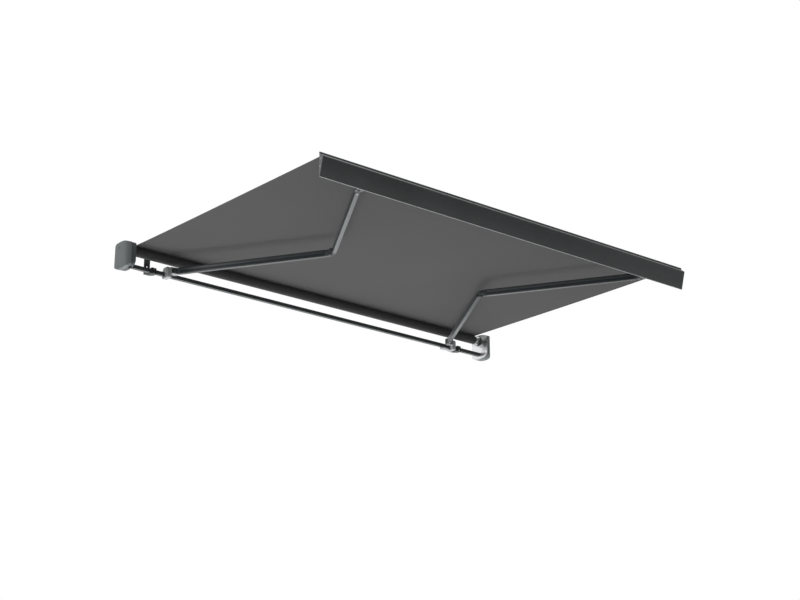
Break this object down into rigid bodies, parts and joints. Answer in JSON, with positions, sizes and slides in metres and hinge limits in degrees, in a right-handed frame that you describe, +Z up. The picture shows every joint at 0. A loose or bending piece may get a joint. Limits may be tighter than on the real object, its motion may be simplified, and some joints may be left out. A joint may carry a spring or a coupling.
{
  "type": "folding arm canvas awning",
  "caption": "Open folding-arm awning, extended: grey canvas from a wall-side roller to a wedge front bar, held by two sprung elbow arms on a square torsion bar.",
  "frame": {"origin": "on the wall plane, at the middle of the cloth's width and at the height of the torsion bar's axis", "axes": "+X along the awning to the viewer's right, +Y into the wall, +Z up"},
  "size_m": [4.266, 2.833, 0.2495],
  "materials": {
    "frame_dark": "satin powder coat on extruded aluminium",
    "frame_cast": "satin powder coat on cast aluminium",
    "bracket_black": "matt black coat on cast aluminium",
    "bare_metal": "bright machined",
    "steel": "zinc plated",
    "cover_grey": "fine grained moulding",
    "black_rubber": "matt",
    "cloth": "woven canvas"
  },
  "bodies": {
    "frame": {"torsion_bar": "frame_dark", "end_cover_left": "cover_grey", "end_cover_right": "cover_grey", "drive_housing": "frame_cast", "end_plate": "bare_metal", "bearing_disc": "bare_metal", "bearing_ring": "black_rubber", "motor_tube": "steel", "idler_pin": "steel", "cloth_panel": "cloth", "wall_bracket_left": "bracket_black", "bracket_keeper_left": "bracket_black", "keeper_bolt_upper_left": "steel", "keeper_bolt_lower_left": "steel", "shoulder_bracket_left": "frame_cast", "shoulder_pin_left": "steel", "wall_bracket_right": "bracket_black", "bracket_keeper_right": "bracket_black", "keeper_bolt_upper_right": "steel", "keeper_bolt_lower_right": "steel", "shoulder_bracket_right": "frame_cast", "shoulder_pin_right": "steel"},
    "roller": {"roller_tube": "steel", "cloth_roll": "cloth", "idler_plug": "black_rubber", "drive_wheel": "black_rubber", "crown_ring": "black_rubber", "motor_shaft": "steel"},
    "front": {"front_bar": "frame_dark", "keder_rod": "bare_metal", "front_cap_left": "cover_grey", "wrist_bracket_left": "frame_cast", "wrist_pin_left": "steel", "front_cap_right": "cover_grey", "wrist_bracket_right": "frame_cast", "wrist_pin_right": "steel"},
    "upper_arm_left": {"shoulder_casting_left": "frame_cast", "upper_arm_left": "frame_dark", "elbow_fork_left": "frame_cast", "arm_spring_left": "steel", "tension_rod_left": "steel", "elbow_pin_left": "steel"},
    "forearm_left": {"wrist_casting_left": "frame_cast", "forearm_left": "frame_dark", "elbow_lug_left": "frame_cast"},
    "upper_arm_right": {"shoulder_casting_right": "frame_cast", "upper_arm_right": "frame_dark", "elbow_fork_right": "frame_cast", "arm_spring_right": "steel", "tension_rod_right": "steel", "elbow_pin_right": "steel"},
    "forearm_right": {"wrist_casting_right": "frame_cast", "forearm_right": "frame_dark", "elbow_lug_right": "frame_cast"}
  },
  "joints": [
    {"name": "shoulder_left", "type": "hinge", "parent": "frame", "child": "upper_arm_left", "pos_m": [-1.6, -0.152, 0.031], "axis": [0, 0, 1], "range_deg": [0, 57.5], "deforming": ["cloth_panel"]},
    {"name": "elbow_left", "type": "hinge", "parent": "upper_arm_left", "child": "forearm_left", "pos_m": [-0.86289, -1.43077, 0.031], "axis": [0, 0, 1], "range_deg": [-116, 1]},
    {"name": "wrist_left", "type": "hinge", "parent": "forearm_left", "child": "front", "pos_m": [-1.6, -2.70954, 0.031], "axis": [0, 0, 1], "range_deg": [-1, 58.5]},
    {"name": "shoulder_right", "type": "hinge", "parent": "frame", "child": "upper_arm_right", "pos_m": [1.6, -0.152, 0.031], "axis": [0, 0, 1], "range_deg": [-58.5, 1]},
    {"name": "elbow_right", "type": "hinge", "parent": "upper_arm_right", "child": "forearm_right", "pos_m": [0.86289, -1.43077, 0.031], "axis": [0, 0, 1], "range_deg": [-1, 116]},
    {"name": "roller_spin", "type": "hinge", "parent": "frame", "child": "roller", "pos_m": [0, -0.09, 0.145], "axis": [1, 0, 0], "range_deg": [-2905, 30]}
  ],
  "couplings": [
    {"joint": "elbow_left", "follows": "shoulder_left", "ratio": -2},
    {"joint": "wrist_left", "follows": "shoulder_left", "ratio": 1},
    {"joint": "shoulder_right", "follows": "shoulder_left", "ratio": -1},
    {"joint": "elbow_right", "follows": "shoulder_left", "ratio": 2},
    {"joint": "roller_spin", "follows": "shoulder_left", "ratio": -50}
  ]
}
